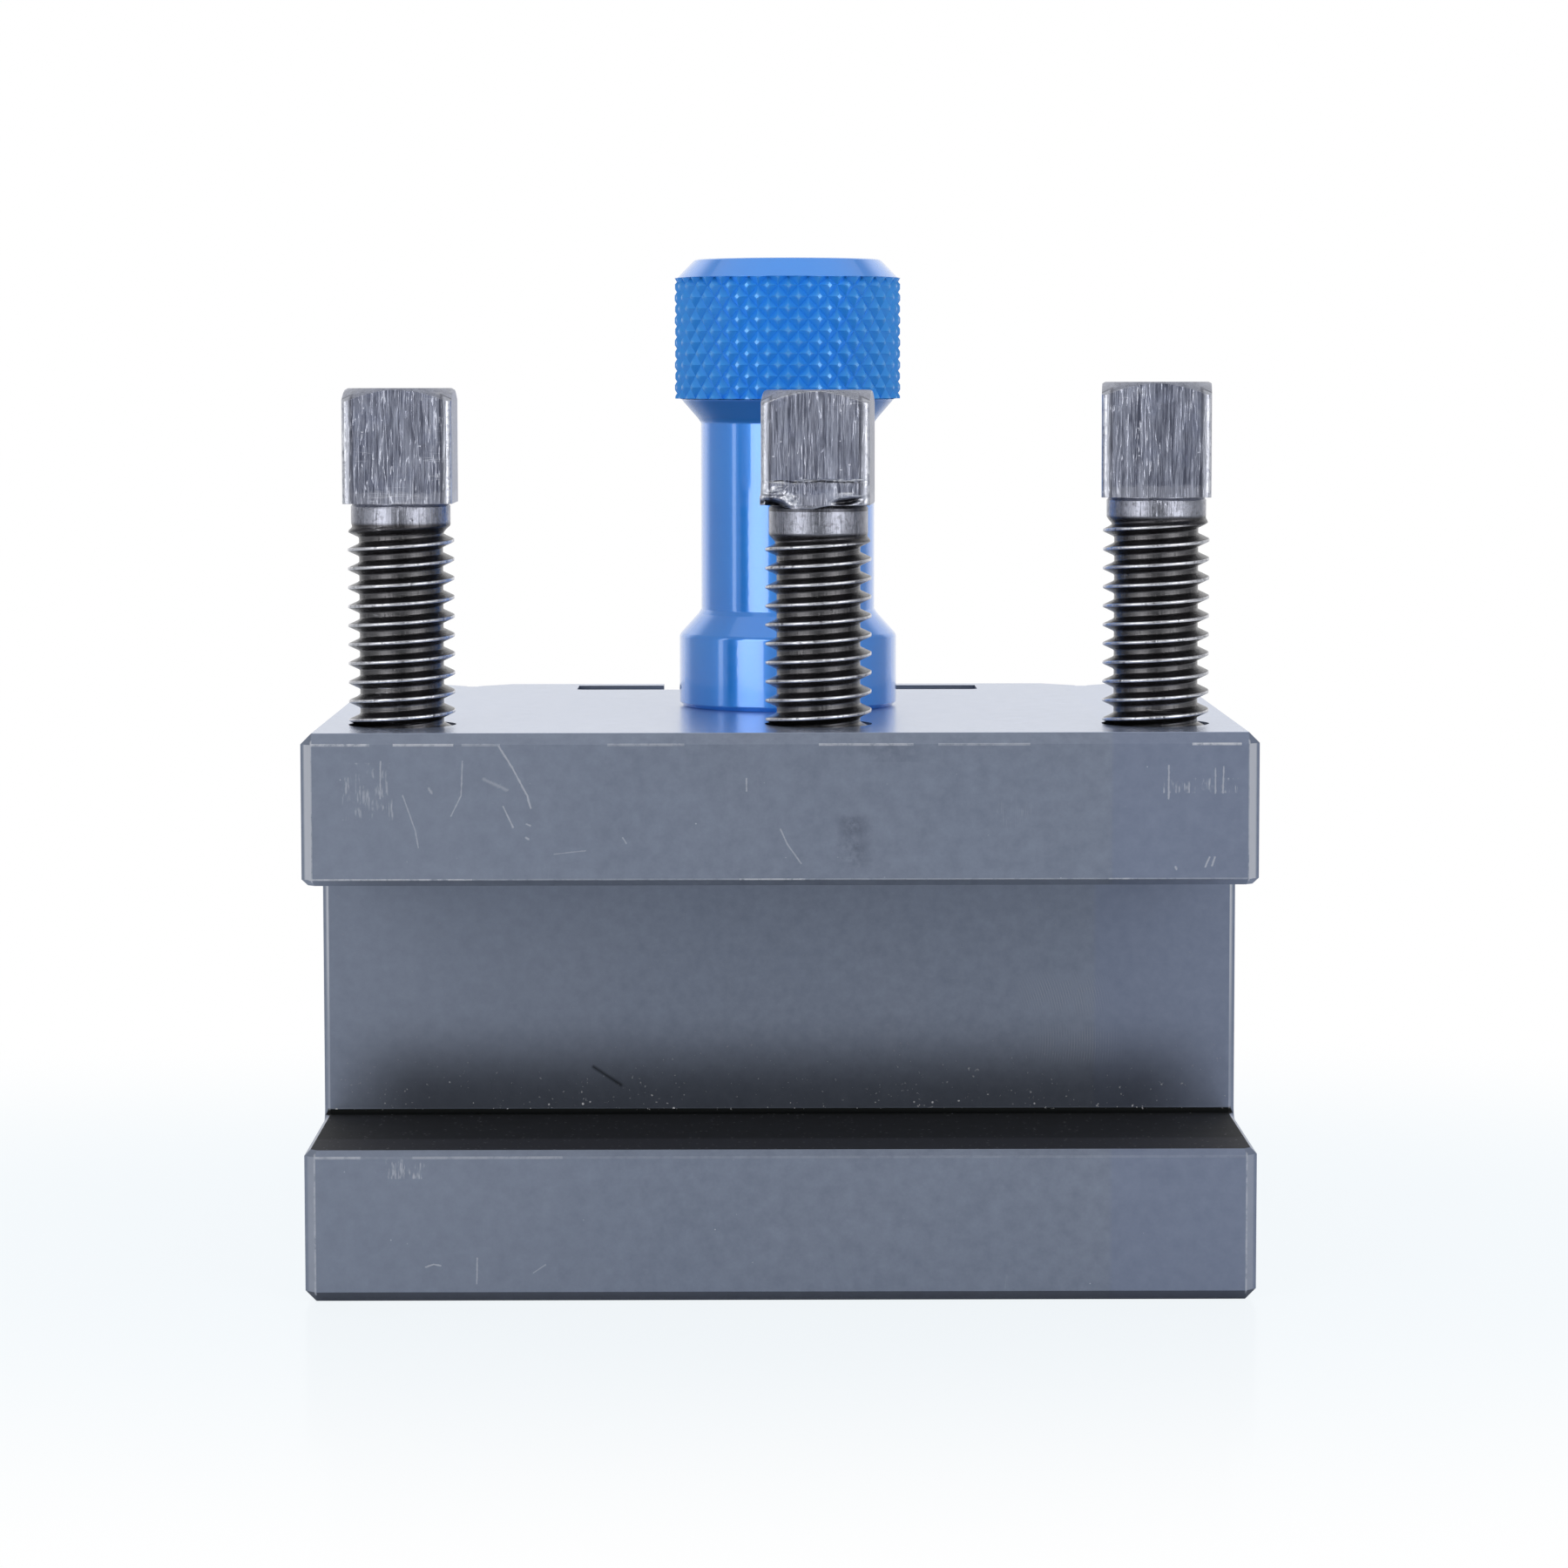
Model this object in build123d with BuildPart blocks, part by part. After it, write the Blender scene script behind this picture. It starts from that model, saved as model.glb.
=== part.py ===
"""Quick-change turning tool holder of the twin-vee pattern, for a small centre lathe.

A steel block with a tool slot along its front, three square-head clamp screws above the
slot, a T-slot with a 90 degree vee-groove on each side of it in the rear face, and a
spool-shaped knurled nut on a fixed stud that sets the height on the tool post.

Millimetres. X runs along the tool slot, -Y is the front, where the slot opens, +Z is up,
and the origin is under the middle of the block.
"""

import os
from math import radians, tan

from build123d import *

os.makedirs("parts", exist_ok=True)

# The block
body_width = 70.0
body_depth = 57.2
body_height = 41.9
outer_chamfer = 0.8

# The tool slot: an open channel between the two jaws
slot_height = 19.5
slot_depth = 17.6
slot_floor = 11.25
slot_corner_radius = 0.5
mouth_chamfer = 0.45

# The T-slot for the post's draw bolt, open at the top, the bottom and the rear
neck_width = 19.0
lip_thickness = 3.0
cavity_width = 33.2
cavity_depth = 5.2
cavity_corner_radius = 0.6

# The vee-grooves that seat on the post
vee_spacing = 51.0
vee_depth = 4.0
vee_relief_width = 1.0
vee_relief_depth = 0.6

# The clamp screws, a 5/16 inch thread with a square head
screw_left = -28.2
screw_middle = 2.9
screw_right = 28.1
screw_setback = 9.8
screw_diameter = 7.94
screw_neck_diameter = 7.4
screw_tip_diameter = 5.8
screw_tip_length = 1.2
screw_tip_recess = 0.9
head_square = 8.1
head_height = 8.5
head_corner_radius = 0.55
head_top_diameter = 7.7
head_cone_angle = 30
head_foot_height = 1.1
head_foot_inset = 0.15
thread_run_in = 0.3

# Each screw: its place along X, its turn, the height of its head above the block
# and the length of the plain neck under the head
screws = {
    "clamp_screw_left": (screw_left, 0, 16.55, 1.45),
    "clamp_screw_middle": (screw_middle, -4.0, 16.4, 2.1),
    "clamp_screw_right": (screw_right, -4.8, 16.95, 1.4),
}

# The height stud and its nut
stud_x = 0.76
stud_setback = 30.3
stud_diameter = 7.94
stud_depth = 16.0
stud_chamfer = 0.7
stud_below_nut_top = 2.0
nut_height = 35.0
collar_diameter = 17.1
collar_height = 5.65
collar_foot_chamfer = 0.35
neck_diameter = 13.65
collar_cone_height = 1.75
head_diameter = 17.7
head_length = 9.4
head_cone_height = 1.65
nut_top_chamfer_height = 1.45
nut_top_chamfer_width = 1.6
nut_bore_chamfer = 0.6

# Clearances, all radial
screw_clearance = 0.05
stud_fit_clearance = 0.02
nut_clearance = 0.05
past = 1.0  # how far a cut runs past the face it opens
neck_overlap = 0.5  # how far the plain neck reaches up into the head
same_place = 0.01  # within this, an edge lies on a plane
square_corner = 2**0.5  # the diagonal of a square of side 1

front_y = -body_depth / 2
rear_y = body_depth / 2
slot_wall_y = front_y + slot_depth
slot_ceiling = slot_floor + slot_height
jaw_thickness = body_height - slot_ceiling
screw_y = front_y + screw_setback
stud_y = front_y + stud_setback


def lies_on(item, axis, value):
    """Whether the middle of an edge or a face lies at this value along an axis."""
    return abs(getattr(item.center(), axis) - value) < same_place


# The block: tool slot, T-slot, vee-grooves and tapped holes
with BuildPart() as body:
    with BuildSketch(Plane.XY):
        Rectangle(body_width, body_depth)
    extrude(amount=body_height)
    chamfer(body.edges(), outer_chamfer)

    # the tool slot, cut along X, with rounded inner corners
    with BuildSketch(Plane.YZ) as slot_profile:
        with Locations((front_y - past, slot_floor)):
            Rectangle(slot_depth + past, slot_height, align=(Align.MIN, Align.MIN))
        fillet(slot_profile.vertices().sort_by(Axis.X)[-2:], slot_corner_radius)
    extrude(amount=body_width / 2 + past, both=True, mode=Mode.SUBTRACT)
    # its mouth: the edges along the front, round both ends and across the corner chamfers
    slot_edges = (
        body.edges()
        .filter_by_position(Axis.Z, slot_floor, slot_ceiling)
        .filter_by_position(Axis.Y, front_y, slot_wall_y)
    )
    mouth = slot_edges.filter_by(
        lambda e: lies_on(e, "Y", front_y)
        or lies_on(e, "Y", front_y + outer_chamfer / 2)
        or lies_on(e, "X", body_width / 2)
        or lies_on(e, "X", -body_width / 2)
    )
    chamfer(mouth, mouth_chamfer)

    # the T-slot and the vee-grooves, cut from top to bottom
    with BuildSketch(Plane.XY) as rear_cuts:
        with Locations((0, rear_y + past)):
            Rectangle(neck_width, lip_thickness + 2 * past, align=(Align.CENTER, Align.MAX))
        with Locations((0, rear_y - lip_thickness)):
            Rectangle(cavity_width, cavity_depth, align=(Align.CENTER, Align.MAX))
        fillet(rear_cuts.vertices().sort_by(Axis.Y)[:2], cavity_corner_radius)
        with Locations((-vee_spacing / 2, rear_y), (vee_spacing / 2, rear_y)):
            Rectangle(vee_depth * square_corner, vee_depth * square_corner, rotation=45)
        with Locations((-vee_spacing / 2, rear_y), (vee_spacing / 2, rear_y)):
            Rectangle(
                vee_relief_width,
                vee_depth + vee_relief_depth - vee_relief_width / 2,
                align=(Align.CENTER, Align.MAX),
            )
    extrude(amount=body_height, mode=Mode.SUBTRACT)

    # the tapped holes of the clamp screws, through the upper jaw, and of the stud
    for x, turn, head_rise, plain_neck in screws.values():
        with Locations((x, screw_y, body_height)):
            Hole(screw_diameter / 2 + screw_clearance, depth=jaw_thickness + past)
    with Locations((stud_x, stud_y, body_height)):
        Hole(stud_diameter / 2 + stud_fit_clearance, depth=stud_depth)

body.part.label = "body"
export_step(body.part, "parts/body.step")


# The clamp screws: a square head turned to a cone on top, a plain neck and the thread
cone_drop = (head_square * square_corner - head_top_diameter) / 2 * tan(radians(head_cone_angle))
for name, (x, turn, head_rise, plain_neck) in screws.items():
    foot = body_height + head_rise
    crown = foot + head_height
    tip = slot_ceiling + screw_tip_recess
    across = head_square * square_corner
    with BuildPart() as screw:
        with BuildSketch(Plane.XY.offset(foot)):
            with Locations((x, screw_y)):
                RectangleRounded(head_square, head_square, head_corner_radius, rotation=turn)
        extrude(amount=head_height)
        # the cone that the top corners are turned to, and the taper at the foot
        with BuildSketch(Plane.XZ.offset(-screw_y)):
            with BuildLine():
                Polyline(
                    (x, foot),
                    (x + across / 2 - head_foot_inset, foot),
                    (x + across / 2, foot + head_foot_height),
                    (x + across / 2, crown - cone_drop),
                    (x + head_top_diameter / 2, crown),
                    (x, crown),
                    close=True,
                )
            make_face()
        revolve(axis=Axis((x, screw_y, 0), (0, 0, 1)), mode=Mode.INTERSECT)
        # the plain neck, and the thread drawn at its full diameter
        with BuildSketch(Plane.XZ.offset(-screw_y)):
            with BuildLine():
                Polyline(
                    (x, foot + neck_overlap),
                    (x + screw_neck_diameter / 2, foot + neck_overlap),
                    (x + screw_neck_diameter / 2, foot - plain_neck),
                    (x + screw_diameter / 2, foot - plain_neck - thread_run_in),
                    (x + screw_diameter / 2, tip + screw_tip_length),
                    (x + screw_tip_diameter / 2, tip),
                    (x, tip),
                    close=True,
                )
            make_face()
        revolve(axis=Axis((x, screw_y, 0), (0, 0, 1)))
    screw.part.label = name
    export_step(screw.part, f"parts/{name}.step")


# The stud that the nut runs on, screwed into the block
stud_foot = body_height - stud_depth
stud_top = body_height + nut_height - stud_below_nut_top
with BuildPart() as height_stud:
    with BuildSketch(Plane.XY.offset(stud_foot)):
        with Locations((stud_x, stud_y)):
            Circle(stud_diameter / 2)
    extrude(amount=stud_top - stud_foot)
    chamfer(height_stud.edges().filter_by(GeomType.CIRCLE), stud_chamfer)
height_stud.part.label = "height_stud"
export_step(height_stud.part, "parts/height_stud.step")


# The height nut: a collar, a waist and a knurled head, turned in one piece
nut_bore = stud_diameter / 2 + nut_clearance
nut_top = body_height + nut_height
waist_top = nut_top - nut_top_chamfer_height - head_length - head_cone_height
with BuildPart() as height_nut:
    with BuildSketch(Plane.XZ.offset(-stud_y)):
        with BuildLine():
            Polyline(
                (stud_x + nut_bore + nut_bore_chamfer, body_height),
                (stud_x + collar_diameter / 2 - collar_foot_chamfer, body_height),
                (stud_x + collar_diameter / 2, body_height + collar_foot_chamfer),
                (stud_x + collar_diameter / 2, body_height + collar_height),
                (stud_x + neck_diameter / 2, body_height + collar_height + collar_cone_height),
                (stud_x + neck_diameter / 2, waist_top),
                (stud_x + head_diameter / 2, waist_top + head_cone_height),
                (stud_x + head_diameter / 2, nut_top - nut_top_chamfer_height),
                (stud_x + head_diameter / 2 - nut_top_chamfer_width, nut_top),
                (stud_x + nut_bore + nut_bore_chamfer, nut_top),
                (stud_x + nut_bore, nut_top - nut_bore_chamfer),
                (stud_x + nut_bore, body_height + nut_bore_chamfer),
                close=True,
            )
        make_face()
    revolve(axis=Axis((stud_x, stud_y, 0), (0, 0, 1)))
height_nut.part.label = "height_nut"
export_step(height_nut.part, "parts/height_nut.step")
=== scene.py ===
"""The looks of a quick-change turning tool holder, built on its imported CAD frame.

The CAD block gets its finish. The clamp screws and the stud are replaced by ones with cut
threads, and the height nut by one with a diamond knurl. Lengths are in metres. They are in
millimetres in the colours' masks, in the burr of the middle head and in names with _mm or _MM.
"""

from math import cos, exp, pi, radians, sin, tau

import bmesh
import bpy
from mathutils import Matrix, Vector, noise

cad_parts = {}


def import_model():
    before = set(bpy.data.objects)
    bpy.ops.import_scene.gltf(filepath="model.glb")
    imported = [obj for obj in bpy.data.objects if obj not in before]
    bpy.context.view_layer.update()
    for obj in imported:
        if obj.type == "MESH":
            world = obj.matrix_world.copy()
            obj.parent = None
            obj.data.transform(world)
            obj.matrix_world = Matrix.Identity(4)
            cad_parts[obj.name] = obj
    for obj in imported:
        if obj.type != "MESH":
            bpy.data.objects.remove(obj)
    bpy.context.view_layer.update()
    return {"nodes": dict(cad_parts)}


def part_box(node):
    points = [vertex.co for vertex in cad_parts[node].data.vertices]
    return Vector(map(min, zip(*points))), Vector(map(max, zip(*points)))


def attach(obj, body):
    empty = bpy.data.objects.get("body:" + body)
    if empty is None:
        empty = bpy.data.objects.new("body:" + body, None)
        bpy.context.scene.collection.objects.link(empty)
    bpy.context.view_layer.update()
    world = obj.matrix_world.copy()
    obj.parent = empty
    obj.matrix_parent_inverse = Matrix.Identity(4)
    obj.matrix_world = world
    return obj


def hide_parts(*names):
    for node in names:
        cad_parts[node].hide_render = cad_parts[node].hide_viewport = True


MM = 0.001

# ---------------------------------------------------------------- sizes of the pieces
OUTER_CHAMFER = 0.8 * MM
MOUTH_CHAMFER = 0.45 * MM
SLOT_DEPTH = 17.6 * MM
SLOT_FLOOR = 11.25 * MM
SLOT_HEIGHT = 19.5 * MM

SCREW_PITCH = 1.411 * MM
SCREW_MAJOR = 7.94 / 2 * MM
SCREW_ROOT = 6.25 / 2 * MM
SCREW_NECK = 7.4 / 2 * MM
SCREW_TIP = 5.8 / 2 * MM
SCREW_TIP_LENGTH = 1.2 * MM
HEAD_SQUARE = 8.1 * MM
HEAD_HEIGHT = 8.5 * MM
HEAD_TOP_RADIUS = 7.7 / 2 * MM
HEAD_CONE = radians(30)
HEAD_CORNER = 0.55 * MM
HEAD_CORNER_STEPS = 5
HEAD_TAPER_HEIGHT = 1.1 * MM
HEAD_EDGE_BEVEL = 0.09 * MM
HEAD_CONE_SEGMENTS = 144
BURR_CELL = 0.1 * MM  # of the fine skin that the burr is pushed out of

# node: turn of the head in degrees, length of the plain neck
SCREWS = {
    "clamp_screw_left": (0.0, 1.45 * MM),
    "clamp_screw_middle": (-4.0, 2.1 * MM),
    "clamp_screw_right": (-4.8, 1.4 * MM),
}
BURRED_SCREW = "clamp_screw_middle"

THREAD_SEGMENTS = 64  # round the thread
THREAD_ROWS = 16  # to one pitch
STUD_CHAMFER = 0.7 * MM
MERGE_WITHIN = 0.003 * MM
MERGE_IN_TREE = 0.002 * MM

KNURL_AROUND = 34
KNURL_HALF_ROWS = 14
KNURL_CELL = 1.745 * MM
KNURL_FLAT = 0.22
KNURL_DEPTH = 0.42 * MM
KNURL_LENGTH = 9.4 * MM
NUT_HEAD = 17.7 / 2 * MM
NUT_WAIST = 13.65 / 2 * MM
NUT_COLLAR = 17.1 / 2 * MM
NUT_BORE = 8.04 / 2 * MM
NUT_TOP_CHAMFER = 1.45 * MM
NUT_HEAD_CONE = 1.65 * MM
NUT_COLLAR_HEIGHT = 5.65 * MM
NUT_COLLAR_CONE = 1.75 * MM
NUT_COLLAR_FOOT = 0.35 * MM
NUT_BORE_CHAMFER = 0.6 * MM

# blackened steel, as seen square on
STEEL_BLUE = (0.304, 0.357, 0.463)
STEEL_GREY = (0.361, 0.404, 0.502)

# ---------------------------------------------------------------- the camera
CAMERA_PLACE = Vector((-1.79, -376.25, 67.9)) * MM
CAMERA_YAW = 0.0059
CAMERA_PITCH = 0.0852
CAMERA_ROLL = 0.0012
CAMERA_FOCAL_PX = 5500.0
FRAME_PX = 1800.0
SENSOR_WIDTH_MM = 36.0

# ---------------------------------------------------------------- the light, where 1 is white
TENT_BACK = 1.0
TENT_FRONT = 0.40
TENT_GAP = 0.25
TABLE_HALF = 6.0
TABLE_LIFT = 0.90
TABLE_NEAR_MM, TABLE_FAR_MM = 35.0, 120.0
LIT_POINT = Vector((0, 0, 0.035))

# lamp: place, width and height, radiance
LAMPS = {
    "overhead": ((0, 0.05, 0.62), (0.75, 0.6), 0.32),
    "left_box": ((-0.47, -0.52, 0.24), (0.44, 0.55), 2.4),
    "right_box": ((0.47, -0.52, 0.24), (0.44, 0.55), 2.4),
    "left_strip": ((-0.68, -0.17, 0.22), (0.08, 0.5), 1.3),
    "right_strip": ((0.68, -0.17, 0.22), (0.08, 0.5), 1.3),
}


# ================================================================ node helpers
class Nodes:
    """Short ways to add shader nodes to one tree and join them."""

    def __init__(self, tree):
        self.tree = tree

    def add(self, kind, values=None, **settings):
        node = self.tree.nodes.new(kind)
        for key, value in settings.items():
            setattr(node, key, value)
        for key, value in (values or {}).items():
            self.put(node.inputs[key], value)
        return node

    def put(self, socket, value):
        """Joins a socket to another one or sets its value; colours are red, green, blue."""
        if isinstance(value, bpy.types.NodeSocket):
            self.tree.links.new(value, socket)
        elif value is not None:
            socket.default_value = (*value, 1) if socket.type == "RGBA" else value

    def math(self, operation, a, b=None, c=None, clamp=False):
        node = self.add("ShaderNodeMath", operation=operation, use_clamp=clamp)
        for socket, value in zip(node.inputs, (a, b, c)):
            self.put(socket, value)
        return node.outputs[0]

    def plus(self, *terms):
        total = terms[0]
        for term in terms[1:]:
            total = self.math("ADD", total, term)
        return total

    def times(self, *terms):
        total = terms[0]
        for term in terms[1:]:
            total = self.math("MULTIPLY", total, term)
        return total

    def minus(self, a, b, clamp=False):
        return self.math("SUBTRACT", a, b, clamp=clamp)

    def over(self, a, b, clamp=False):
        return self.math("DIVIDE", a, b, clamp=clamp)

    def absolute(self, a):
        return self.math("ABSOLUTE", a)

    def lowest(self, a, b):
        return self.math("MINIMUM", a, b)

    def highest(self, *terms):
        top = terms[0]
        for term in terms[1:]:
            top = self.math("MAXIMUM", top, term)
        return top

    def step(self, value, low, high):
        """0 below low, 1 above high, smooth between; falls instead where low is above high."""
        node = self.add("ShaderNodeMapRange", interpolation_type="SMOOTHSTEP", clamp=True)
        rising = low < high
        self.put(node.inputs["Value"], value)
        node.inputs["From Min"].default_value = min(low, high)
        node.inputs["From Max"].default_value = max(low, high)
        node.inputs["To Min"].default_value = 0.0 if rising else 1.0
        node.inputs["To Max"].default_value = 1.0 if rising else 0.0
        return node.outputs["Result"]

    def between(self, value, low, high, soft):
        """1 between low and high, falling to 0 over soft on either side."""
        return self.times(
            self.step(value, low - soft, low + soft), self.step(value, high + soft, high - soft)
        )

    def within(self, value, low, high):
        """1 between low and high and 0 outside, with no soft edge."""
        return self.math("COMPARE", value, (low + high) / 2, (high - low) / 2)

    def spans(self, value, parts):
        """The sum of several separate stretches of a value, each (low, high, strength)."""
        total = 0.0
        for low, high, strength in parts:
            total = self.math("MULTIPLY_ADD", self.within(value, low, high), strength, total)
        return total

    def mix(self, factor, a, b):
        node = self.add("ShaderNodeMix", data_type="RGBA", clamp_factor=True)
        self.put(node.inputs["Factor"], factor)
        self.put(node.inputs[6], a)
        self.put(node.inputs[7], b)
        return node.outputs[2]

    def tint(self, base, colour, *masks):
        """A base turned to a colour where all the masks, multiplied together, are high."""
        return self.mix(self.times(*masks), base, colour)

    def lerp(self, factor, a, b):
        node = self.add("ShaderNodeMix", data_type="FLOAT", clamp_factor=True)
        self.put(node.inputs["Factor"], factor)
        self.put(node.inputs[2], a)
        self.put(node.inputs[3], b)
        return node.outputs[0]

    def vector(self, operation, a, b):
        node = self.add("ShaderNodeVectorMath", operation=operation)
        self.put(node.inputs[0], a)
        self.put(node.inputs[1], b)
        scalar = operation in ("DOT_PRODUCT", "DISTANCE")
        return node.outputs["Value" if scalar else "Vector"]

    def scaled(self, vector, factor):
        node = self.add("ShaderNodeVectorMath", {"Scale": factor}, operation="SCALE")
        self.put(node.inputs[0], vector)
        return node.outputs[0]

    def radius(self, x, y):
        """The distance from the Z axis."""
        return self.math("SQRT", self.plus(self.times(x, x), self.times(y, y)))

    def split(self, vector):
        return self.add("ShaderNodeSeparateXYZ", {"Vector": vector}).outputs

    def place(self):
        """Object coordinates in millimetres."""
        return self.scaled(self.add("ShaderNodeTexCoord").outputs["Object"], 1 / MM)

    def stretched(self, vector, scale, offset=(0, 0, 0)):
        return self.add(
            "ShaderNodeMapping", {"Vector": vector, "Scale": scale, "Location": offset}
        ).outputs[0]

    def noise(self, vector, scale, detail=3.0, rough=0.5):
        return self.add(
            "ShaderNodeTexNoise",
            {"Vector": vector, "Scale": scale, "Detail": detail, "Roughness": rough},
        ).outputs["Fac"]

    def group(self, tree, **values):
        return self.add("ShaderNodeGroup", values, node_tree=tree).outputs[0]

    def bump(self, height, strength, distance):
        """A bump map, with its distance in metres."""
        values = {"Height": height, "Strength": strength, "Distance": distance}
        return self.add("ShaderNodeBump", values).outputs[0]

    def blend(self, factor, a, b):
        """Two shaders mixed."""
        node = self.add("ShaderNodeMixShader")
        for socket, value in zip(node.inputs, (factor, a, b)):
            self.put(socket, value)
        return node.outputs[0]


SOCKET_KINDS = {float: "NodeSocketFloat", int: "NodeSocketInt", tuple: "NodeSocketVector"}


def add_inputs(tree, defaults):
    """Adds an input to a node group for each named default; returns the inputs' identifiers."""
    identifiers = {}
    for label, value in defaults.items():
        kind = SOCKET_KINDS[type(value)]
        socket = tree.interface.new_socket(label, in_out="INPUT", socket_type=kind)
        socket.default_value = value
        identifiers[label] = socket.identifier
    return identifiers


def shader_group(name, defaults, result):
    """An empty shader node group with one float output, and its in and out nodes."""
    tree = bpy.data.node_groups.new(name, "ShaderNodeTree")
    add_inputs(tree, defaults)
    tree.interface.new_socket(result, in_out="OUTPUT", socket_type="NodeSocketFloat")
    nodes = Nodes(tree)
    return nodes, nodes.add("NodeGroupInput").outputs, nodes.add("NodeGroupOutput").inputs


def new_material(name):
    """A material with one Principled shader, and its nodes."""
    material = bpy.data.materials.new(name)
    material.use_nodes = True
    material.node_tree.nodes.clear()
    nodes = Nodes(material.node_tree)
    shader = nodes.add("ShaderNodeBsdfPrincipled")
    output = nodes.add("ShaderNodeOutputMaterial")
    nodes.put(output.inputs["Surface"], shader.outputs[0])
    return material, nodes, shader.inputs


# ================================================================ shared effects
def make_grain_group():
    """Fine machining or brushing lines along Z or, with other stretches, along any axis."""
    nodes, given, made = shader_group(
        "machined_grain", {"Place": (0, 0, 0), "Stretch": (1, 1, 1), "Lines": 4.0}, "Grain"
    )
    where = nodes.vector("MULTIPLY", given["Place"], given["Stretch"])
    fine = nodes.noise(where, given["Lines"], 4.0, 0.65)
    coarse = nodes.noise(where, nodes.times(given["Lines"], 0.23), 2.0, 0.5)
    nodes.put(made["Grain"], nodes.lerp(0.35, fine, coarse))
    return nodes.tree


def make_scratch_group():
    """Thin broken lines along one axis: sparse, uneven and only where the field allows."""
    nodes, given, made = shader_group(
        "handling_scratches",
        {"Place": (0, 0, 0), "Stretch": (1, 1, 1), "Scale": 3.0, "Amount": 0.3},
        "Scratch",
    )
    where = nodes.vector("MULTIPLY", given["Place"], given["Stretch"])
    lines = nodes.noise(where, given["Scale"], 2.0, 0.4)
    ridge = nodes.absolute(nodes.minus(lines, 0.5))
    thin = nodes.step(ridge, 0.016, 0.003)
    patches = nodes.noise(given["Place"], 0.21, 2.0, 0.5)
    gate = nodes.minus(nodes.plus(patches, given["Amount"]), 0.75)
    nodes.put(made["Scratch"], nodes.times(thin, nodes.math("MULTIPLY", gate, 6.0, clamp=True)))
    return nodes.tree


def make_line_group():
    """How near a point of a face is to one straight mark: 1 on its line, 0 past its width."""
    nodes, given, made = shader_group(
        "single_mark",
        {"Across": 0.0, "Up": 0.0, "From": (0, 0, 0), "To": (1, 1, 0), "Width": 0.1},
        "Mark",
    )
    point = nodes.add("ShaderNodeCombineXYZ", {"X": given["Across"], "Y": given["Up"]}).outputs[0]
    along = nodes.vector("SUBTRACT", given["To"], given["From"])
    reach = nodes.vector("SUBTRACT", point, given["From"])
    share = nodes.over(
        nodes.vector("DOT_PRODUCT", reach, along),
        nodes.vector("DOT_PRODUCT", along, along),
        clamp=True,
    )
    gap = nodes.vector("DISTANCE", reach, nodes.scaled(along, share))
    near = nodes.over(gap, given["Width"])
    nodes.put(made["Mark"], nodes.minus(1.0, near, clamp=True))
    return nodes.tree


def make_speck_group():
    """Scattered specks of dust: small round spots in some cells of a grid."""
    nodes, given, made = shader_group(
        "specks", {"Place": (0, 0, 0), "Scale": 1.2, "Size": 0.12, "Share": 0.3}, "Speck"
    )
    values = {"Vector": given["Place"], "Scale": given["Scale"]}
    cells = nodes.add("ShaderNodeTexVoronoi", values).outputs
    chosen = nodes.math("LESS_THAN", nodes.split(cells["Color"])[0], given["Share"])
    size = nodes.times(given["Size"], nodes.plus(nodes.split(cells["Color"])[1], 0.4))
    spot = nodes.minus(1.0, nodes.over(cells["Distance"], size), clamp=True)
    nodes.put(made["Speck"], nodes.times(chosen, nodes.step(spot, 0.0, 0.5)))
    return nodes.tree


# ================================================================ materials
# bare steel for scratches and wear, and for the painted highlights on the block's edges
BARE_STEEL_AND_HIGHLIGHT = (0.72, 0.74, 0.80)
DUST = (0.60, 0.60, 0.62)
# colour of the painted shade low on the slot's wall
WALL_SHADE_COLOUR = (0.030, 0.034, 0.044)
SMUDGE = (0.045, 0.052, 0.080)
# colour of the painted shade in the corner at the foot of the slot's wall
CORNER_SHADE_COLOUR = (0.004, 0.005, 0.005)

# marks on the block's front: points across and up in mm, then width and strength
FRONT_MARKS = [
    ([(-20.5, 41.0), (-19.5, 39.4), (-18.45, 37.4), (-18.2, 36.5)], 0.11, 0.9),
    ([(-20.2, 36.6), (-19.5, 35.1)], 0.10, 0.75),
    ([(-23.15, 39.9), (-23.25, 37.4), (-24.0, 35.9)], 0.08, 0.6),
    ([(-27.5, 37.4), (-26.6, 34.8), (-26.4, 33.6)], 0.08, 0.55),
    ([(-29.1, 39.9), (-29.15, 37.2)], 0.08, 0.7),
    ([(-16.5, 33.1), (-14.2, 33.35)], 0.07, 0.45),
    ([(-21.6, 38.6), (-19.9, 37.8)], 0.20, 0.35),
    ([(-18.5, 35.3), (-18.25, 35.2)], 0.10, 0.6),
    ([(-18.55, 34.3), (-18.35, 34.2)], 0.11, 0.7),
    ([(-25.6, 37.9), (-25.4, 37.6)], 0.16, 0.5),
    ([(-11.5, 34.3), (-11.25, 33.9)], 0.10, 0.6),
    ([(-2.47, 38.6), (-2.47, 37.7)], 0.09, 0.8),
    ([(0.0, 34.9), (0.5, 33.8), (1.5, 32.4)], 0.09, 0.6),
    ([(28.3, 39.5), (28.3, 37.1)], 0.10, 0.9),
    ([(31.7, 39.3), (31.7, 37.5)], 0.09, 0.7),
    ([(32.3, 39.4), (32.25, 37.5)], 0.10, 0.85),
    ([(28.8, 32.1), (28.9, 31.9)], 0.12, 0.8),
    ([(31.3, 32.8), (31.0, 32.1)], 0.11, 0.9),
    ([(31.7, 32.8), (31.5, 32.2)], 0.10, 0.8),
    ([(-26.1, 2.65), (-25.5, 2.85), (-25.0, 2.75)], 0.09, 0.85),
    ([(-22.3, 3.3), (-22.35, 1.4)], 0.08, 0.75),
    ([(-18.2, 2.2), (-17.3, 2.8)], 0.08, 0.5),
]


def axis_in_mm(low, high):
    """X and Y, in millimetres, of the upright axis through the middle of a box."""
    return [(low[i] + high[i]) / 2 / MM for i in (0, 1)]


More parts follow.
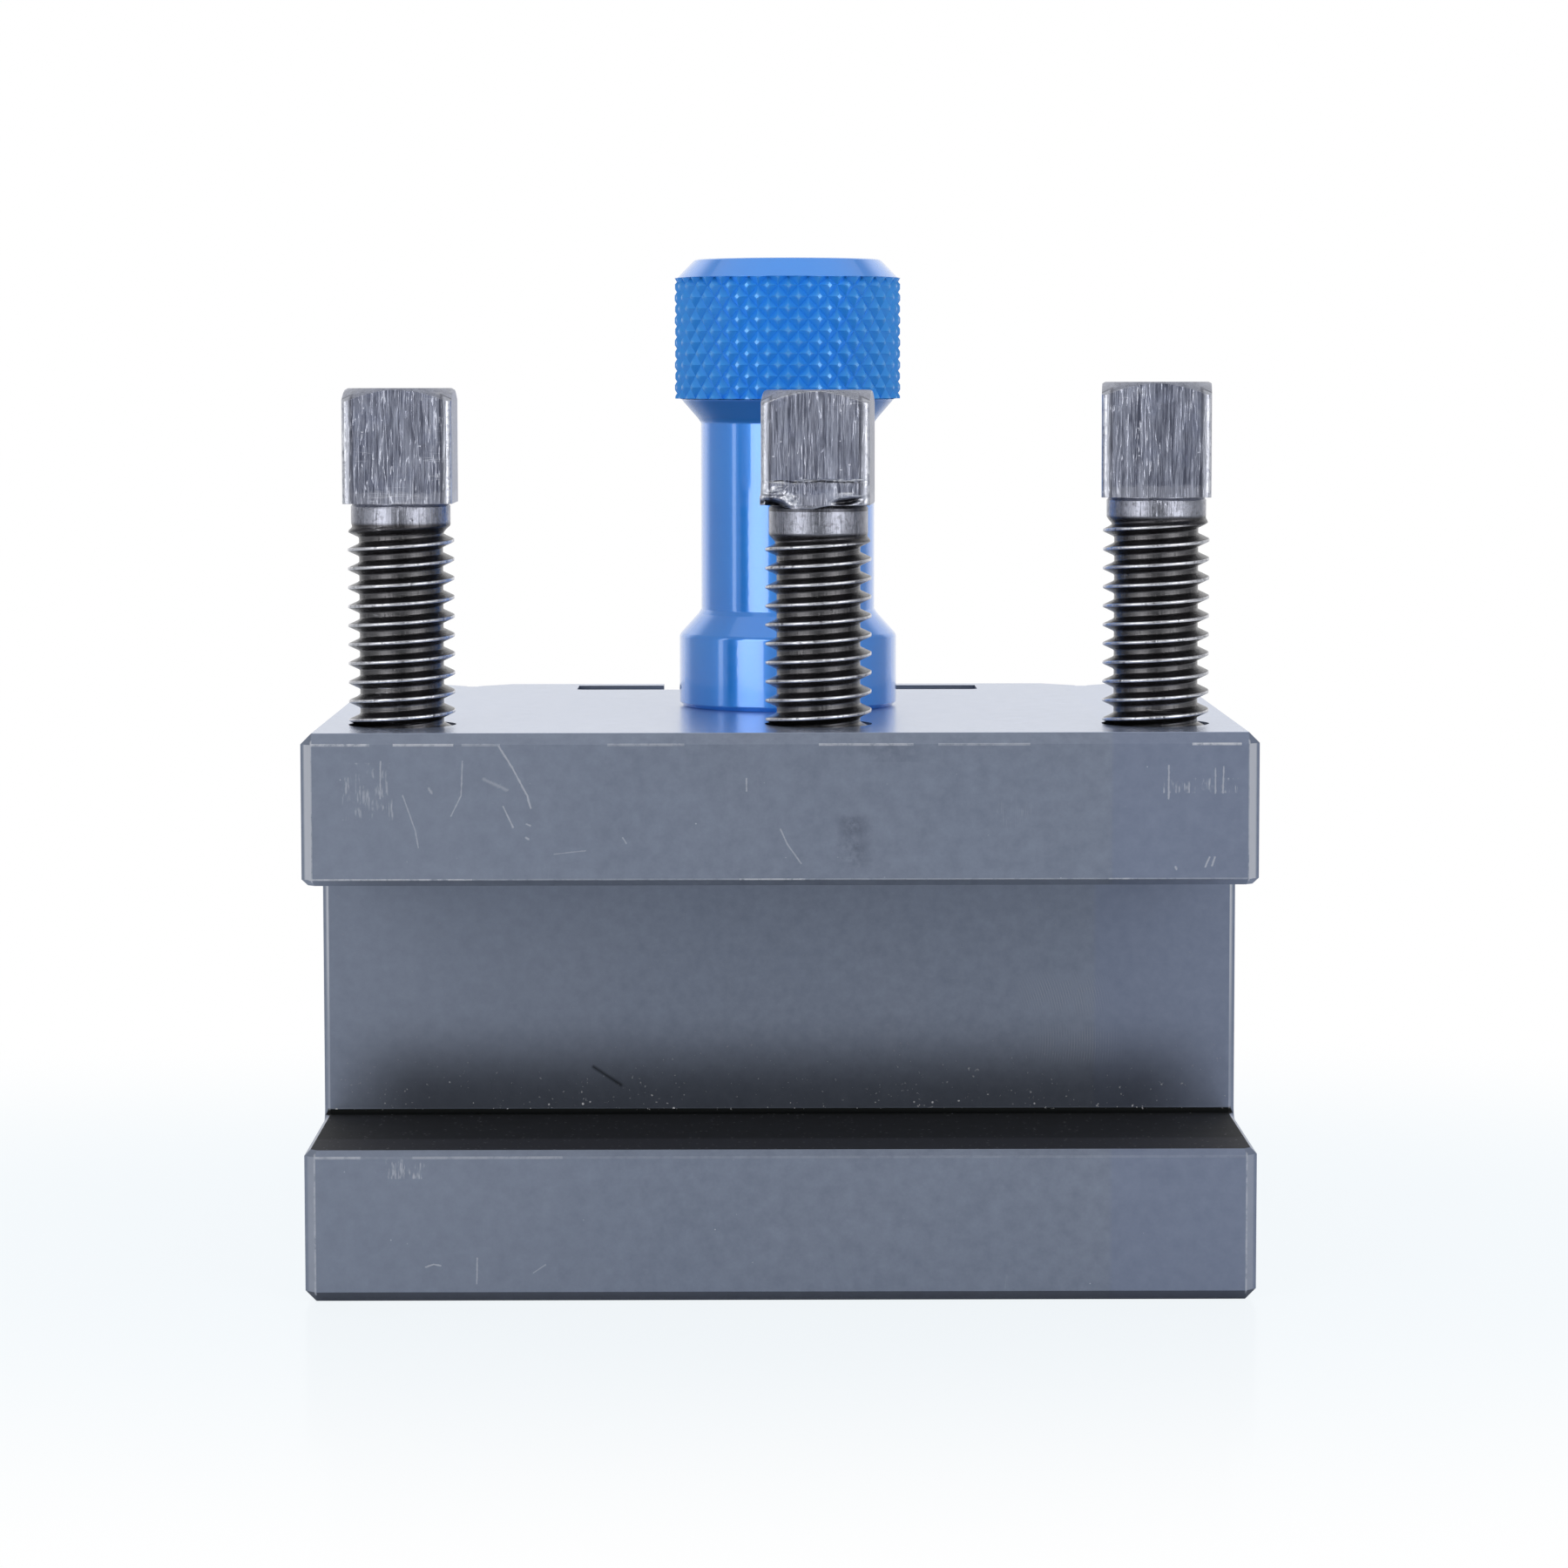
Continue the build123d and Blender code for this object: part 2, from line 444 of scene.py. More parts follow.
def scored_marks(n, group, across, up, ragged):
    """All the placed marks of the front faces together, each joined on as soon as it is made."""
    total = n.times(ragged, 0.0)
    for points, width, strength in FRONT_MARKS:
        for a, b in zip(points, points[1:]):
            thick = n.times(ragged, width)
            mark = n.group(group, Across=across, Up=up, From=(*a, 0), To=(*b, 0), Width=thick)
            total = n.highest(total, n.times(mark, strength * 1.6))
    return n.lowest(total, 1.0)


def block_material(groups, block_box):
    """Chemically blackened steel: blue-grey faces, scratches, dust, painted edge highlights,
    painted shade low in the slot and a pale painted reflection on the top.
    """
    material, n, shader = new_material("blackened_block")
    place = n.place()
    x, y, z = n.split(place)
    facing = n.split(n.add("ShaderNodeNewGeometry").outputs["True Normal"])
    low, high = [corner / MM for corner in block_box[0]], [corner / MM for corner in block_box[1]]
    front, top, half_width = low[1], high[2], high[0]
    wall = front + SLOT_DEPTH / MM
    slot_low = SLOT_FLOOR / MM
    slot_high = slot_low + SLOT_HEIGHT / MM
    outer, mouth = OUTER_CHAMFER / MM, MOUTH_CHAMFER / MM

    faces_front = n.step(facing[1], -0.9, -0.97)
    on_front = n.times(faces_front, n.step(y, front + 0.3, front + 0.1))
    on_wall = n.times(faces_front, n.between(y, wall - 0.3, wall + 0.3, 0.05))
    on_floor = n.times(n.step(facing[2], 0.9, 0.97), n.step(z, slot_high, slot_high - 1.0))
    on_top = n.within(z, top - 0.02, top + 0.02)
    foot = n.times(
        n.between(y, wall - 0.56, wall + 0.2, 0.06),
        n.between(z, slot_low - 0.05, slot_low + 0.44, 0.06),
    )
    from_middle = n.absolute(x)
    mottle = n.noise(place, 0.9, 5.0, 0.72)
    grain = n.group(groups["grain"], Place=place, Stretch=(1.0, 1.0, 0.12), Lines=2.6)

    # the steel itself: cloudy, bluer at the right end, with painted shade low in the slot
    steel = n.mix(n.noise(place, 0.055, 3.0, 0.55), STEEL_BLUE, STEEL_GREY)
    steel = n.tint(steel, (0.150, 0.176, 0.240), mottle, 0.80)
    steel = n.tint(steel, (0.308, 0.348, 0.440), n.step(x, -2.0, -30.0), 0.30)
    steel = n.tint(steel, (0.218, 0.267, 0.418), n.step(x, 24.0, 24.4), 0.35)
    steel = n.tint(steel, (0.345, 0.375, 0.448), grain, 0.12)
    # painted reflection: the top face turned pale blue, as if it shone with the bright backdrop at
    # this low angle
    steel = n.tint(steel, (0.66, 0.75, 0.98), on_top, 0.50)
    # painted shade: the bottom chamfer darkened, as in the table's contact shadow
    shaded_bottom_edge = n.math("LESS_THAN", z, outer - 0.04)
    steel = n.tint(steel, (0.040, 0.044, 0.056), shaded_bottom_edge, 0.68)
    # painted shade: the slot's wall darker towards its bottom, less so near its ends
    lower_on_wall = n.step(z, slot_low + 8.0, slot_low + 1.5)
    painted_wall_shade = n.times(on_wall, lower_on_wall, n.step(from_middle, 36.0, 27.0))
    steel = n.tint(steel, WALL_SHADE_COLOUR, painted_wall_shade, 0.70)
    # handled darker patches: on the upper jaw, under its top edge and high on the slot's wall
    smudge = n.times(n.between(x, 4.5, 6.1, 0.8), n.step(z, 31.9, 32.8), n.step(z, 36.1, 35.4))
    smudge = n.times(smudge, n.minus(1.0, n.between(z, 34.1, 34.4, 0.6)))
    under_top = n.between(x, 6.2, 10.0, 0.8)
    smudge = n.math("MULTIPLY_ADD", under_top, n.times(n.within(z, 39.8, 41.0), 0.35), smudge)
    smudge = n.times(smudge, on_front, n.step(mottle, 0.26, 0.70), 0.44)
    steel = n.mix(smudge, steel, SMUDGE)
    stain = n.times(n.between(x, -26.5, -23.8, 0.8), n.between(z, 29.4, 30.6, 0.4), on_wall, 0.2)
    steel = n.mix(stain, steel, SMUDGE)
    # painted shadow: the floor deeper than 5.6 mm into the slot is near black, as under the upper
    # jaw; the strip at the mouth keeps the floor's dark colour
    shadowed_floor = n.step(y, front + 5.5, front + 5.75)
    floor = n.mix(shadowed_floor, (0.020, 0.020, 0.026), (0.004, 0.004, 0.005))
    steel = n.mix(on_floor, steel, floor)
    # painted shade: a near-black line in the corner where the wall meets the floor
    steel = n.mix(foot, steel, CORNER_SHADE_COLOUR)
    ends = {"From": (-14.3, 14.9, 0), "To": (-12.2, 13.5, 0)}
    cut_mark = n.group(groups["mark"], Across=x, Up=z, Width=0.20, **ends)
    steel = n.tint(steel, (0.010, 0.011, 0.014), cut_mark, on_wall, 0.8)

    # fine bright lines where a chamfer meets the front faces: painted edge highlights, broken in
    # places
    bright_marks = n.times(
        n.within(z, top - outer - 0.11, top - outer + 0.07),
        n.spans(
            x,
            [
                (-34.2, -29.9, 0.85),
                (-28.2, -23.8, 0.75),
                (-23.2, -20.4, 0.35),
                (-12.6, -7.0, 0.4),
                (2.8, 9.7, 0.62),
                (11.5, 18.2, 0.4),
                (30.0, 33.6, 0.95),
            ],
        ),
    )
    jaw_edge = n.times(
        n.within(z, slot_high + mouth - 0.04, slot_high + mouth + 0.09),
        n.plus(0.3, n.spans(x, [(-34.4, -22.5, 0.6), (-3.0, 1.8, 0.6), (24.0, 26.0, 0.4)])),
    )
    bright_marks = n.highest(bright_marks, jaw_edge)
    lip_edge = n.times(
        n.within(z, slot_low - mouth - 0.14, slot_low - mouth + 0.04),
        n.plus(0.12, n.spans(x, [(-34.2, -30.8, 0.5), (-27.0, -16.0, 0.3)])),
    )
    bright_marks = n.highest(bright_marks, lip_edge)
    side_edge = n.within(from_middle, half_width - outer - 0.07, half_width - outer + 0.07)
    bright_marks = n.highest(bright_marks, n.times(side_edge, 0.6))
    bright_marks = n.times(bright_marks, n.step(y, front + 0.35, front + 0.2))
    bright_marks = n.times(bright_marks, n.step(n.noise(place, 1.6, 4.0, 0.7), 0.25, 0.58))
    # upright chamfers: a painted highlight on the front half, still dark on the outer edge
    upright = n.times(
        n.between(n.absolute(facing[1]), 0.55, 0.85, 0.08),
        n.step(n.absolute(facing[2]), 0.3, 0.1),
        n.step(from_middle, half_width - outer - 0.06, half_width - outer + 0.02),
    )
    chamfer_highlight = n.times(upright, n.step(from_middle, half_width - 0.16, half_width - 0.34))
    bright_marks = n.highest(bright_marks, n.times(chamfer_highlight, n.lerp(n.step(z, 15.0, 25.0), 0.26, 0.85)))
    stretch = (1.0, 1.0, 0.06)
    brushes = n.group(groups["scratch"], Place=place, Stretch=stretch, Scale=2.6, Amount=0.10)
    bright_marks = n.highest(bright_marks, n.times(brushes, on_front, 0.24))
    nicks = n.group(groups["speck"], Place=place, Scale=0.80, Size=0.10, Share=0.45)
    bright_marks = n.highest(bright_marks, n.times(nicks, on_front, n.step(mottle, 0.42, 0.56), 0.8))
    ragged = n.highest(n.plus(n.times(n.noise(place, 3.0, 3.0, 0.7), 2.4), -0.35), 0.05)
    scored = scored_marks(n, groups["mark"], x, z, ragged)
    bright_marks = n.highest(bright_marks, n.times(scored, on_front, 0.62))
    # patches where short upright scratches crowd together
    crowd = n.times(n.within(x, -32.0, -28.2), n.within(z, 35.6, 39.8), 0.8)
    crowd = n.math("MULTIPLY_ADD", n.within(x, 27.9, 33.4), n.within(z, 37.5, 38.6), crowd)
    crowd = n.math("MULTIPLY_ADD", n.within(x, -29.0, -25.9), n.within(z, 9.2, 11.2), crowd)
    hairs = n.step(n.noise(n.stretched(place, (1.0, 1.0, 0.12)), 7.5, 2.0, 0.5), 0.50, 0.66)
    hairs = n.times(hairs, n.step(n.noise(place, 1.1, 2.0, 0.5), 0.42, 0.62))
    bright_marks = n.highest(bright_marks, n.times(crowd, hairs, on_front, 0.58))

    # arcs that a milling cutter left on part of the slot's wall
    patch = n.times(n.between(x, 18.8, 25.0, 1.2), n.between(z, 19.2, 21.8, 0.8))
    lower_patch = n.times(n.between(x, 19.8, 25.8, 1.2), n.between(z, 15.5, 17.8, 0.8), 0.8)
    patch = n.highest(patch, lower_patch)
    arcs = n.add(
        "ShaderNodeTexWave",
        {
            "Vector": n.stretched(place, (1, 0, 1), (-9.0, 0, -17.0)),
            "Scale": 1.55,
            "Distortion": 0.5,
        },
        wave_type="RINGS",
        rings_direction="Y",
    ).outputs["Fac"]
    cutter = n.times(patch, on_wall, n.step(mottle, 0.38, 0.6), n.step(arcs, 0.55, 0.9), 0.16)
    bright_marks = n.highest(bright_marks, cutter)
    # bare steel where scratched, nicked and scored, and painted highlight along the edges
    colour = n.mix(bright_marks, steel, BARE_STEEL_AND_HIGHLIGHT)

    # dust on the wall, thickest along its foot, and a little on the slot's floor
    fine = n.step(n.noise(place, 3.6, 3.0, 0.6), 0.66, 0.76)
    settled = n.step(z, slot_low + 6.5, slot_low + 1.0)
    dust = n.times(fine, on_wall, n.plus(0.12, n.times(settled, 0.62)))
    small = n.group(groups["speck"], Place=place, Scale=1.9, Size=0.19, Share=0.70)
    low_row = n.within(z, slot_low + 0.40, slot_low + 1.00)
    dust = n.highest(dust, n.times(small, on_wall, low_row, 0.95))
    dust = n.highest(dust, n.times(small, on_floor, 0.20))
    colour = n.mix(dust, colour, DUST)
    colour = n.tint(colour, (0.10, 0.11, 0.14), small, on_top, 0.30)
    n.put(shader["Base Color"], colour)
    dull = n.highest(on_floor, foot)
    metal = n.lerp(dust, 0.80, 0.1)
    n.put(shader["Metallic"], n.minus(metal, n.times(on_floor, 0.6), clamp=True))
    rough = n.lerp(bright_marks, 0.37, 0.30)
    uneven = n.times(n.minus(grain, 0.5), 0.12)
    rough = n.plus(rough, uneven, n.times(dull, 0.32))
    n.put(shader["Roughness"], n.plus(rough, n.times(dust, 0.3), n.times(on_top, -0.13)))
    height = n.plus(n.times(grain, 0.3), n.times(n.noise(place, 0.9, 4.0, 0.6), 0.15))
    n.put(shader["Normal"], n.bump(height, 0.18, 0.00010))
    return material


def screw_material(groups, node, low, high):
    """Grey brushed head, bright plain neck, and a blackened thread with worn crests."""
    turn, neck = SCREWS[node]
    axis_mm = axis_in_mm(low, high)
    head_foot_mm = (high[2] - HEAD_HEIGHT) / MM
    neck_mm = neck / MM
    material, n, shader = new_material(node + "_steel")
    place = n.stretched(n.place(), (1, 1, 1), (-axis_mm[0], -axis_mm[1], 0))
    turned_back = {"Vector": place, "Rotation": (0, 0, -radians(turn))}
    place = n.add("ShaderNodeMapping", turned_back).outputs[0]
    x, y, z = n.split(place)
    radius = n.radius(x, y)
    on_head = n.step(z, head_foot_mm - 0.05, head_foot_mm + 0.05)
    on_thread = n.step(z, head_foot_mm - neck_mm + 0.1, head_foot_mm - neck_mm - 0.2)
    facing = n.split(n.add("ShaderNodeNewGeometry").outputs["True Normal"])
    up = n.absolute(facing[2])
    side = n.times(on_head, n.step(up, 0.25, 0.1))

    # each screw takes its marks from another part of the noise
    spot = n.vector("ADD", place, (axis_mm[0] * 3.1, 0.0, axis_mm[0] * 1.7))
    brushed = n.group(groups["grain"], Place=spot, Stretch=(1.0, 1.0, 0.06), Lines=9.0)
    streaks = n.noise(n.stretched(spot, (1.0, 1.0, 0.02)), 2.3, 3.0, 0.7)
    upright, level = (1.0, 1.0, 0.05), (0.08, 0.08, 1.0)
    lines = n.group(groups["scratch"], Place=spot, Stretch=upright, Scale=5.0, Amount=0.40)
    crossed = n.group(groups["scratch"], Place=spot, Stretch=level, Scale=2.0, Amount=0.18)
    stain = n.noise(spot, 0.55, 4.0, 0.62)
    chatter = n.noise(spot, 2.6, 4.0, 0.65)
    pits = n.group(groups["speck"], Place=spot, Scale=1.4, Size=0.16, Share=0.30)

    # painted highlight on the head's rounded corners with a painted dark line beside it, rims worn
    # and painted bright, its foot band and the thread's crests
    flat = n.highest(*[n.absolute(f) for f in facing])
    least = n.lowest(n.absolute(x), n.absolute(y))
    half = HEAD_SQUARE / 2 / MM
    corner = n.times(on_head, n.step(least, half - 0.75, half - 0.45))
    corner_shade_line = n.times(on_head, n.between(least, half - 0.85, half - 0.62, 0.08))
    rim = n.times(on_head, n.step(flat, 0.985, 0.90), n.step(up, 0.75, 0.5))
    cone = n.times(on_head, n.step(up, 0.35, 0.6))
    ragged_z = n.plus(z, n.times(chatter, 1.1))
    band = n.times(side, n.step(ragged_z, head_foot_mm + 1.55, head_foot_mm + 1.25))
    crest = n.times(on_thread, n.step(radius, SCREW_MAJOR / MM - 0.09, SCREW_MAJOR / MM - 0.02))
    root = n.times(on_thread, n.step(radius, SCREW_ROOT / MM + 0.16, SCREW_ROOT / MM + 0.05))

    grey = n.mix(n.step(brushed, 0.36, 0.64), (0.12, 0.13, 0.18), (0.45, 0.475, 0.58))
    grey = n.tint(grey, (0.085, 0.090, 0.125), n.step(streaks, 0.40, 0.66), 0.28)
    grey = n.tint(grey, (0.24, 0.265, 0.37), n.step(stain, 0.48, 0.70), 0.45)
    grey = n.tint(grey, (0.56, 0.57, 0.64), band, 0.30)
    grey = n.tint(grey, (0.78, 0.80, 0.87), lines, 0.6)
    grey = n.tint(grey, (0.78, 0.79, 0.83), crossed, 0.55)
    grey = n.tint(grey, (0.78, 0.79, 0.84), pits, side, 0.5)
    grey = n.tint(grey, (0.40, 0.41, 0.46), cone, 0.35)
    # painted shade: a dark line beside each rounded corner
    grey = n.tint(grey, (0.05, 0.05, 0.065), corner_shade_line, 0.55)
    # painted highlight on the rounded corners, and on the bevelled rims where they are also worn
    edge_wear_and_highlight = n.highest(n.times(rim, n.step(chatter, 0.25, 0.55), 0.8), n.times(corner, 0.35))
    grey = n.mix(edge_wear_and_highlight, grey, (0.80, 0.81, 0.85))
    neck = n.mix(stain, (0.21, 0.217, 0.255), (0.44, 0.452, 0.52))
    neck = n.tint(neck, (0.10, 0.10, 0.115), n.step(chatter, 0.50, 0.66), 0.45)
    black = n.mix(chatter, (0.030, 0.029, 0.032), (0.10, 0.097, 0.105))
    black = n.tint(black, (0.13, 0.127, 0.130), root, 0.6)
    black = n.tint(black, (0.55, 0.55, 0.58), crossed, 0.5)
    black = n.tint(black, (0.75, 0.75, 0.79), crest, n.step(chatter, 0.22, 0.5), 0.9)
    colour = n.mix(on_head, neck, grey)
    colour = n.mix(on_thread, colour, black)
    if node == BURRED_SCREW:
        # the score across the face, painted shade on the floors of the torn hollows and a painted
        # shadow on the neck under the head
        wavy = n.plus(z, n.times(n.noise(spot, 0.5, 3.0, 0.6), 0.5))
        score = n.within(wavy, head_foot_mm + 1.96, head_foot_mm + 2.08)
        score = n.times(score, n.step(y, -half + 0.6, -half + 0.4))
        score = n.times(score, n.within(x, -3.4, 3.3), n.step(chatter, 0.36, 0.5))
        shaded_hollows = n.times(n.step(y, -half + 0.10, -half + 0.35), n.step(y, -2.2, -2.6))
        shaded_hollows = n.times(shaded_hollows, n.within(z, head_foot_mm - 0.15, head_foot_mm + 0.75))
        shaded_hollows = n.times(shaded_hollows, n.within(x, -half + 0.3, half - 0.5))
        shadow_under_head = n.times(
            n.within(z, head_foot_mm - 0.5, head_foot_mm - 0.02),
            n.step(radius, SCREW_NECK / MM + 0.2, SCREW_NECK / MM),
        )
        dark = n.highest(n.times(score, 0.85), n.times(shaded_hollows, 0.85), n.times(shadow_under_head, 0.75))
        colour = n.mix(dark, colour, (0.018, 0.018, 0.022))
    n.put(shader["Base Color"], colour)
    shader["Metallic"].default_value = 0.95
    rough = n.plus(0.15, n.times(brushed, 0.16), n.times(on_head, 0.12))
    n.put(shader["Roughness"], rough)
    height = n.plus(n.times(brushed, 0.7), n.times(lines, -0.8))
    height = n.plus(height, n.times(crossed, -0.7), n.times(pits, -0.6))
    n.put(shader["Normal"], n.bump(height, 0.40, 0.00010))
    return material


def nut_material(groups, low, high):
    """Blue anodised finish with fine turning rings, paler on the knurl's points."""
    axis_mm = axis_in_mm(low, high)
    knurl_high_mm = (high[2] - NUT_TOP_CHAMFER) / MM
    knurl_low_mm = knurl_high_mm - KNURL_LENGTH / MM
    material, n, shader = new_material("blue_anodised")
    place = n.place()
    x, y, z = n.split(place)
    radius = n.radius(n.minus(x, axis_mm[0]), n.minus(y, axis_mm[1]))
    on_knurl = n.between(z, knurl_low_mm, knurl_high_mm, 0.08)
    point = n.times(on_knurl, n.step(radius, NUT_HEAD / MM - 0.16, NUT_HEAD / MM - 0.01))
    rings = n.group(groups["grain"], Place=place, Stretch=(0.05, 0.05, 1.0), Lines=5.0)
    clouds = n.noise(place, 0.25, 3.0, 0.5)
    chatter = n.noise(place, 2.4, 4.0, 0.65)
    blue = n.mix(clouds, (0.014, 0.265, 0.95), (0.020, 0.320, 1.0))
    blue = n.tint(blue, (0.055, 0.38, 0.98), rings, 0.25)
    blue = n.tint(blue, (0.060, 0.370, 0.62), on_knurl, 0.30)
    blue = n.tint(blue, (0.20, 0.52, 0.98), point, n.step(chatter, 0.35, 0.6), 0.45)
    # painted shade: the cone under the head darkened, and dull
    under = n.between(z, knurl_low_mm - 1.85, knurl_low_mm - 0.1, 0.2)
    blue = n.tint(blue, (0.003, 0.100, 0.300), under, 0.65)
    n.put(shader["Base Color"], blue)
    shader["Metallic"].default_value = 0.35
    n.put(shader["Roughness"], n.plus(0.20, n.times(rings, 0.10), n.times(on_knurl, 0.12)))
    n.put(shader["Normal"], n.bump(rings, 0.12, 0.00005))
    n.put(shader["Coat Weight"], n.lerp(n.highest(on_knurl, under), 1.0, 0.2))
    shader["Coat IOR"].default_value = 1.9
    shader["Coat Roughness"].default_value = 0.07
    return material


def stud_material(low, high):
    """A dark steel thread with worn crests."""
    axis_mm = axis_in_mm(low, high)
    material, n, shader = new_material("dark_stud")
    place = n.place()
    x, y = n.split(place)[:2]
    radius = n.radius(n.minus(x, axis_mm[0]), n.minus(y, axis_mm[1]))
    crest = n.step(radius, SCREW_MAJOR / MM - 0.10, SCREW_MAJOR / MM - 0.02)
    chatter = n.noise(place, 2.6, 4.0, 0.65)
    black = n.mix(chatter, (0.045, 0.044, 0.048), (0.13, 0.128, 0.136))
    bright_marks = n.times(crest, n.step(chatter, 0.22, 0.5), 0.8)
    n.put(shader["Base Color"], n.mix(bright_marks, black, (0.62, 0.62, 0.66)))
    shader["Metallic"].default_value = 0.95
    n.put(shader["Roughness"], n.plus(0.18, n.times(chatter, 0.15)))
    return material


# ================================================================ objects and meshes
def linked(name, data):
    """A new object in the scene."""
    item = bpy.data.objects.new(name, data)
    bpy.context.scene.collection.objects.link(item)
    return item


def to_mesh(name, bm):
    """Writes a bmesh to a new mesh and frees it."""
    mesh = bpy.data.meshes.new(name)
    bm.to_mesh(mesh)
    bm.free()
    return mesh


def to_bmesh(mesh):
    """A bmesh of a mesh, which is removed."""
    bm = bmesh.new()
    bm.from_mesh(mesh)
    bpy.data.meshes.remove(mesh)
    return bm


def evaluated(item, helpers=()):
    """An object's mesh after its modifiers; the object and its helpers are removed."""
    bpy.context.view_layer.update()
    seen = item.evaluated_get(bpy.context.evaluated_depsgraph_get())
    mesh = bpy.data.meshes.new_from_object(seen)
    for used in (item, *helpers):
        bpy.data.objects.remove(used)
    return mesh


# ================================================================ geometry trees
def geometry_tree(name, defaults):
    """A geometry node tree with named inputs and a material; returns its helpers."""
    tree = bpy.data.node_groups.new(name, "GeometryNodeTree")
    sockets = add_inputs(tree, defaults)
    kind = "NodeSocketMaterial"
    sockets["Finish"] = tree.interface.new_socket("Finish", socket_type=kind).identifier
    tree.interface.new_socket("Geometry", in_out="OUTPUT", socket_type="NodeSocketGeometry")
    nodes = Nodes(tree)
    return tree, nodes, nodes.add("NodeGroupInput").outputs, sockets


def finish_tree(nodes, given, geometry, smooth):
    """Realize, merge, shade and set the material: the end of every geometry tree."""
    for kind, values in (
        ("GeometryNodeRealizeInstances", {}),
        ("GeometryNodeMergeByDistance", {"Distance": MERGE_IN_TREE}),
        ("GeometryNodeSetShadeSmooth", {"Shade Smooth": smooth}),
        ("GeometryNodeSetMaterial", {"Material": given["Finish"]}),
    ):
        geometry = nodes.add(kind, {"Geometry": geometry, **values}).outputs[0]
    nodes.put(nodes.add("NodeGroupOutput").inputs["Geometry"], geometry)


def roll_up(nodes, geometry, angle, radius, height):
    """Sets every point of a flat sheet to its place round the Z axis."""
    spot = nodes.add(
        "ShaderNodeCombineXYZ",
        {
            "X": nodes.times(radius, nodes.math("COSINE", angle)),
            "Y": nodes.times(radius, nodes.math("SINE", angle)),
            "Z": height,
        },
    )
    values = {"Geometry": geometry, "Position": spot.outputs[0]}
    return nodes.add("GeometryNodeSetPosition", values).outputs[0]


def make_thread_tree():
    """A right-hand vee thread between two heights, running out into plain shank at its top.

    A sheet is rolled round the axis with its rows leaning by one pitch a turn, so that they
    follow the crest and meet each other at the seam. Rows past an end are pressed flat on it.
    """
    tree, n, given, sockets = geometry_tree(
        "cut_thread",
        {
            "Pitch": SCREW_PITCH,
            "Crest Radius": SCREW_MAJOR,
            "Root Radius": SCREW_ROOT,
            "Shank Radius": SCREW_NECK,
            "Tip Radius": SCREW_TIP,
            "Tip Length": SCREW_TIP_LENGTH,
            "Low": 0.0,
            "High": 0.02,
            "Rows": 200,
            "Rows per Pitch": THREAD_ROWS,
            "Columns": THREAD_SEGMENTS + 1,
        },
    )
    grid = n.add(
        "GeometryNodeMeshGrid",
        {"Size X": 1.0, "Size Y": 1.0, "Vertices X": given["Columns"], "Vertices Y": given["Rows"]},
    )
    where = n.split(n.add("GeometryNodeInputPosition").outputs[0])
    turn = n.plus(where[0], 0.5)
    row = n.times(n.plus(where[1], 0.5), n.minus(given["Rows"], 1.0))
    climb = n.over(n.times(row, given["Pitch"]), given["Rows per Pitch"])
    lean = n.times(n.minus(turn, 1.0), given["Pitch"])
    height = n.plus(given["Low"], climb, lean)
    phase = n.math("FRACT", n.over(row, given["Rows per Pitch"]))
    off_crest = n.minus(0.5, n.absolute(n.minus(phase, 0.5)))
    tooth = n.over(n.minus(0.34, off_crest), 0.28, clamp=True)
    cut = n.plus(
        given["Root Radius"],
        n.times(tooth, n.minus(given["Crest Radius"], given["Root Radius"])),
    )
    below_top = n.over(n.minus(given["High"], height), given["Pitch"])
    thread = n.lerp(n.step(below_top, 0.0, 0.7), given["Shank Radius"], cut)
    rise = n.over(n.minus(height, given["Low"]), given["Tip Length"])
    widening = n.minus(given["Crest Radius"], given["Tip Radius"])
    cone = n.plus(given["Tip Radius"], n.times(n.highest(rise, 0.0), widening))
    held = n.lowest(n.highest(height, given["Low"]), given["High"])
    radius = n.lowest(thread, cone)
    sheet = roll_up(n, grid.outputs["Mesh"], n.times(turn, tau), radius, held)
    finish_tree(n, given, sheet, True)
    return tree, sockets


